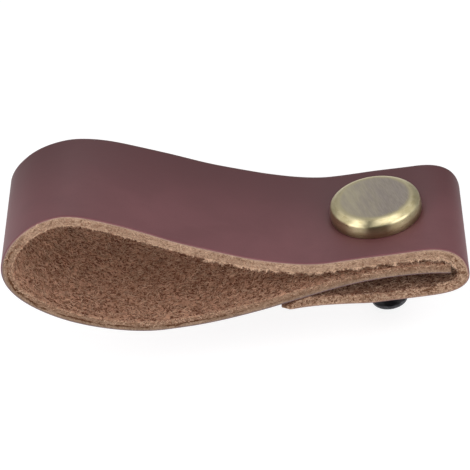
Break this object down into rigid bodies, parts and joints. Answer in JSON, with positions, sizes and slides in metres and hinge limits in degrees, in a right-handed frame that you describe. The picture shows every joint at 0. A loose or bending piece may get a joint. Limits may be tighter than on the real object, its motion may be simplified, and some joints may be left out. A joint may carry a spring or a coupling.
{
  "type": "leather cabinet pull",
  "caption": "Folded leather strap pull with an open grip loop, held by a flat round brass cap and a machine screw through its short folded end.",
  "frame": {"origin": "on the screw axis, at the face of the drawer front that the flap's underside lies on", "axes": "+Z out of the drawer front towards the cap, -X along the grip loop, Y across the strap's width"},
  "size_m": [0.1245, 0.042, 0.0565],
  "materials": {
    "strap_leather": "smooth burgundy grain outside, tan suede flesh side and cut edges",
    "antique_brass": "brushed, antique",
    "black_screw": "satin black"
  },
  "bodies": {
    "root": {"leather_strap": "strap_leather", "brass_cap": "antique_brass", "fixing_screw": "black_screw"}
  },
  "joints": []
}
